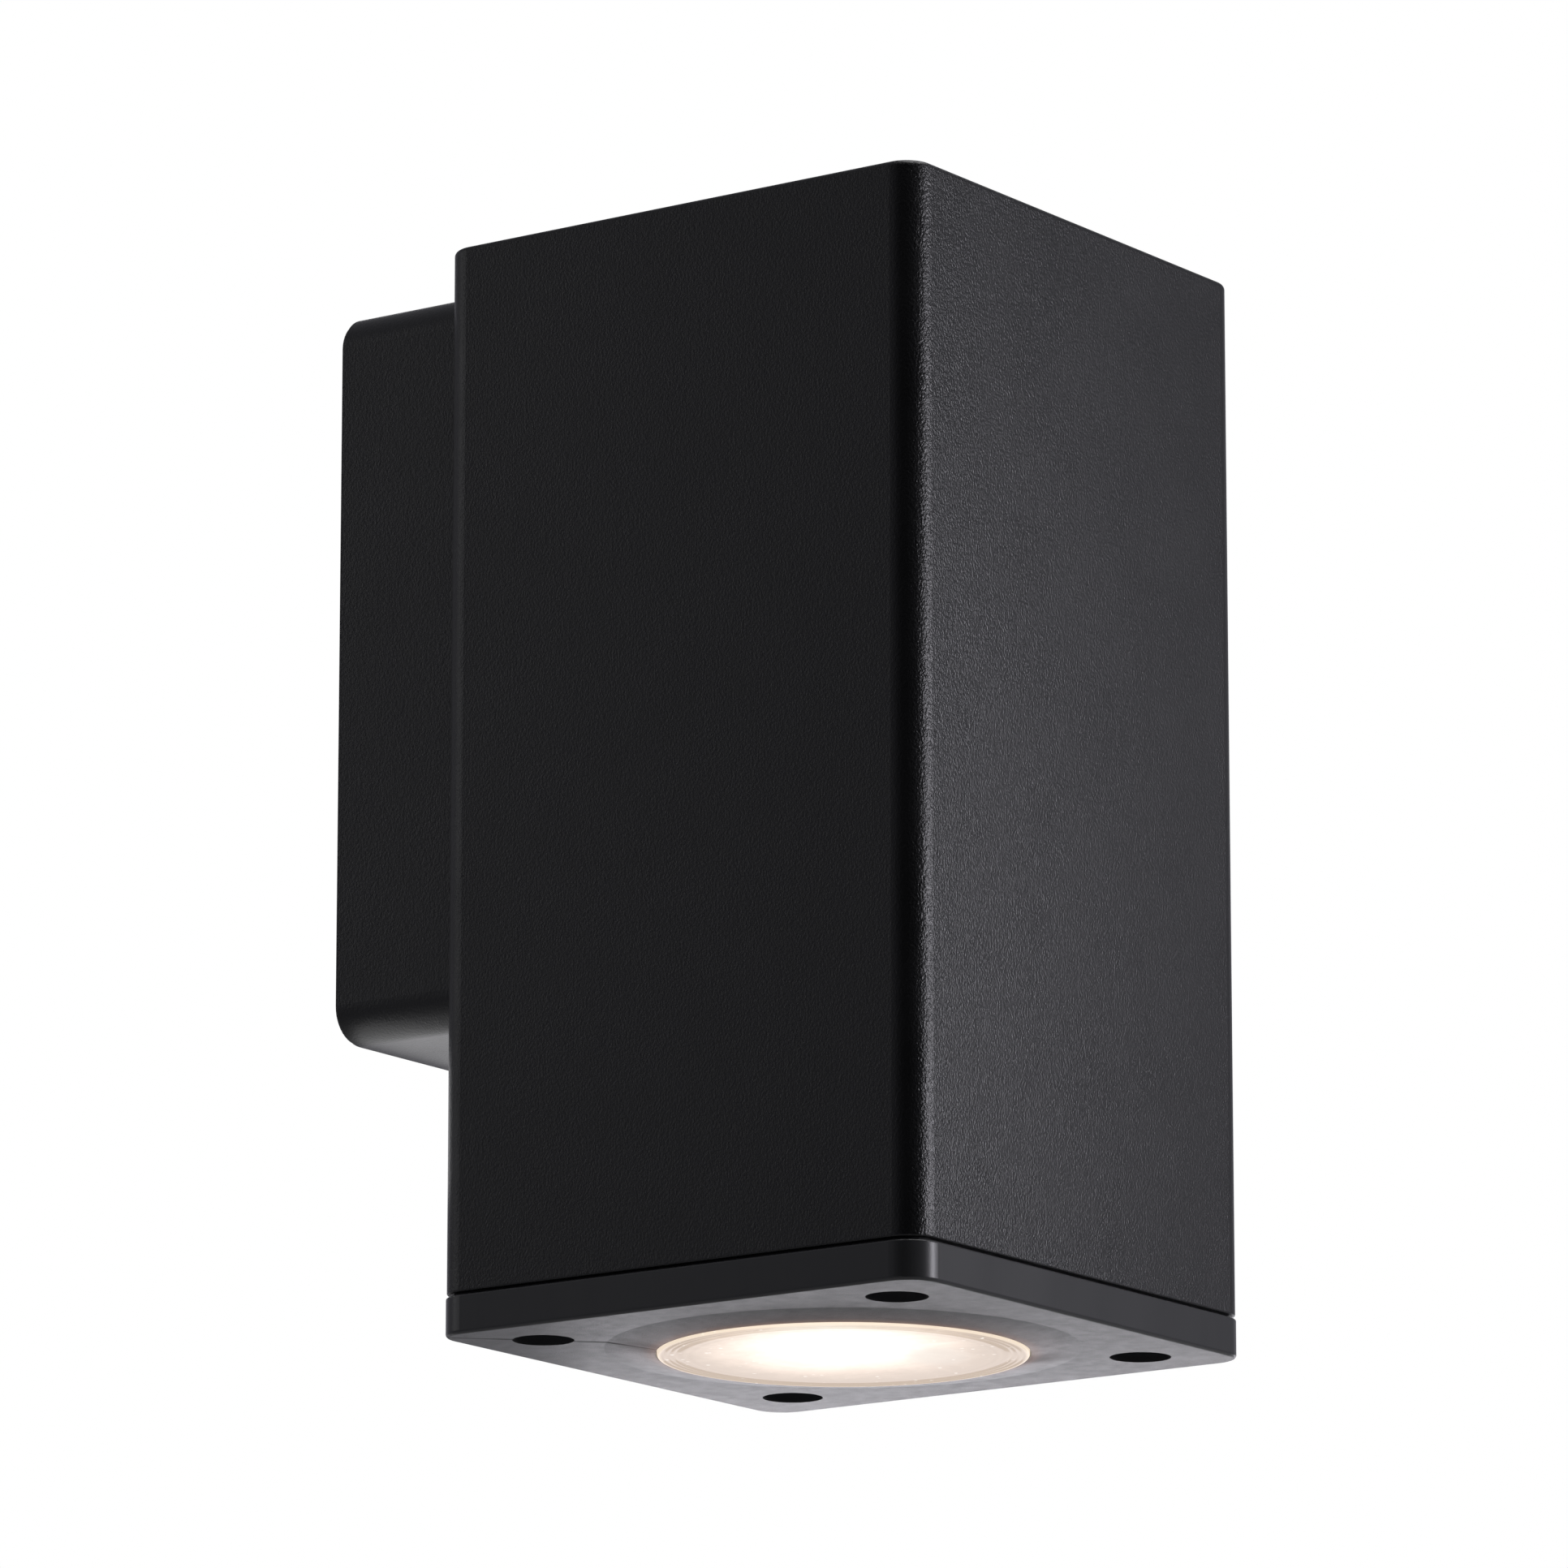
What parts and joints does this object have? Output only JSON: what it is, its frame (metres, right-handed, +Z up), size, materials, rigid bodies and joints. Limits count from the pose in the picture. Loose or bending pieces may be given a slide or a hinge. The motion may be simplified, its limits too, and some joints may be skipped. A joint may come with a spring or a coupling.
{
  "type": "outdoor wall lantern",
  "caption": "Square anthracite wall lantern on a shallow wall box, with a round glowing lens in its underside, socket screws at the corners and a twist-lock lamp inside.",
  "frame": {"origin": "centre of the mounting plate's back face, on the wall", "axes": "+Z up, +Y into the wall, so the front faces -Y, +X to the right as seen from the front"},
  "size_m": [0.0786, 0.1016, 0.151],
  "materials": {
    "powder_coat": "anthracite powder coat on die-cast aluminium, fine orange peel, satin",
    "black_steel": "black oxide steel, satin",
    "zinc_steel": "bright zinc-plated steel",
    "lens_glass": "clear tempered glass, lit warm from behind",
    "silicone_seal": "matte silicone",
    "foam_seal": "closed-cell foam, matte",
    "lamp_body": "satin",
    "lamp_optic": "frosted optic, lit",
    "board": "white solder mask on aluminium",
    "driver": "matte",
    "phosphor": "satin",
    "pin_metal": "nickel plated",
    "porcelain": "unglazed steatite",
    "brass": "satin",
    "tinned_copper": "tinned",
    "terminal_plastic": "matte polyamide",
    "brown_lead": "silicone insulation",
    "blue_lead": "silicone insulation",
    "green_yellow_lead": "silicone insulation, green with a yellow stripe"
  },
  "bodies": {
    "wall_plate": {"mounting_plate": "zinc_steel"},
    "luminaire": {"housing": "powder_coat", "wall_box": "powder_coat", "joint_gasket": "silicone_seal", "wall_gasket": "foam_seal", "joint_screws": "zinc_steel", "locking_screws": "black_steel", "neck_grommet": "silicone_seal", "terminal_block": "terminal_plastic", "terminal_inserts": "brass", "terminal_screws": "zinc_steel", "terminal_fixing_screw": "zinc_steel", "earth_tag": "tinned_copper", "earth_screw": "zinc_steel", "live_lead": "brown_lead", "neutral_lead": "blue_lead", "earth_lead": "green_yellow_lead", "lamp_holder": "porcelain", "holder_contacts": "brass", "holder_bracket": "zinc_steel", "holder_screws": "zinc_steel", "bracket_screws": "zinc_steel"},
    "bezel_cover": {"bezel": "powder_coat", "bezel_gasket": "silicone_seal", "lens": "lens_glass", "lens_gasket": "silicone_seal", "lens_retainer": "zinc_steel", "retainer_screws": "zinc_steel", "bezel_screws": "black_steel"},
    "lamp": {"lamp_shell": "lamp_body", "lamp_base": "lamp_body", "lamp_optic": "lamp_optic", "led_board": "board", "led_chips": "phosphor", "lamp_driver": "driver", "lamp_pins": "pin_metal"}
  },
  "joints": [
    {"name": "luminaire_off_wall", "type": "slide", "parent": "wall_plate", "child": "luminaire", "axis": [0, -1, 0], "range_m": [0, 0.05]},
    {"name": "bezel_removal", "type": "slide", "parent": "luminaire", "child": "bezel_cover", "axis": [0, 0, -1], "range_m": [0, 0.06]},
    {"name": "lamp_twist", "type": "hinge", "parent": "luminaire", "child": "lamp", "pos_m": [0, -0.0624, -0.0355], "axis": [0, 0, -1], "range_deg": [0, 25]}
  ]
}
